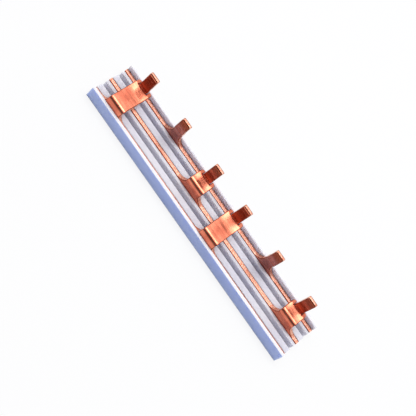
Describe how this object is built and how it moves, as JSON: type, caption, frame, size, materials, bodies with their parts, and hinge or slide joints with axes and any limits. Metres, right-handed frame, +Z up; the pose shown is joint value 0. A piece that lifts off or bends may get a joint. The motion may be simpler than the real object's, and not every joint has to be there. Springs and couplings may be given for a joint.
{
  "type": "comb busbar",
  "caption": "Comb busbar: three copper strips on edge in an open plastic comb profile, with flat pins that stand in one row for the terminals of a row of breakers.",
  "frame": {"origin": "middle of the flat base of the plastic comb profile", "axes": "+X along the bar, from tooth 1 to tooth 6; +Y from the wall beside the rear strip to the wall beside the row of pins; +Z up the pins"},
  "size_m": [0.1088, 0.019, 0.0169],
  "materials": {
    "housing_plastic": "pale blue extruded plastic",
    "strip_copper": null
  },
  "bodies": {
    "root": {"housing": "housing_plastic", "rear_strip": "strip_copper", "middle_strip": "strip_copper", "front_strip": "strip_copper"}
  },
  "joints": []
}
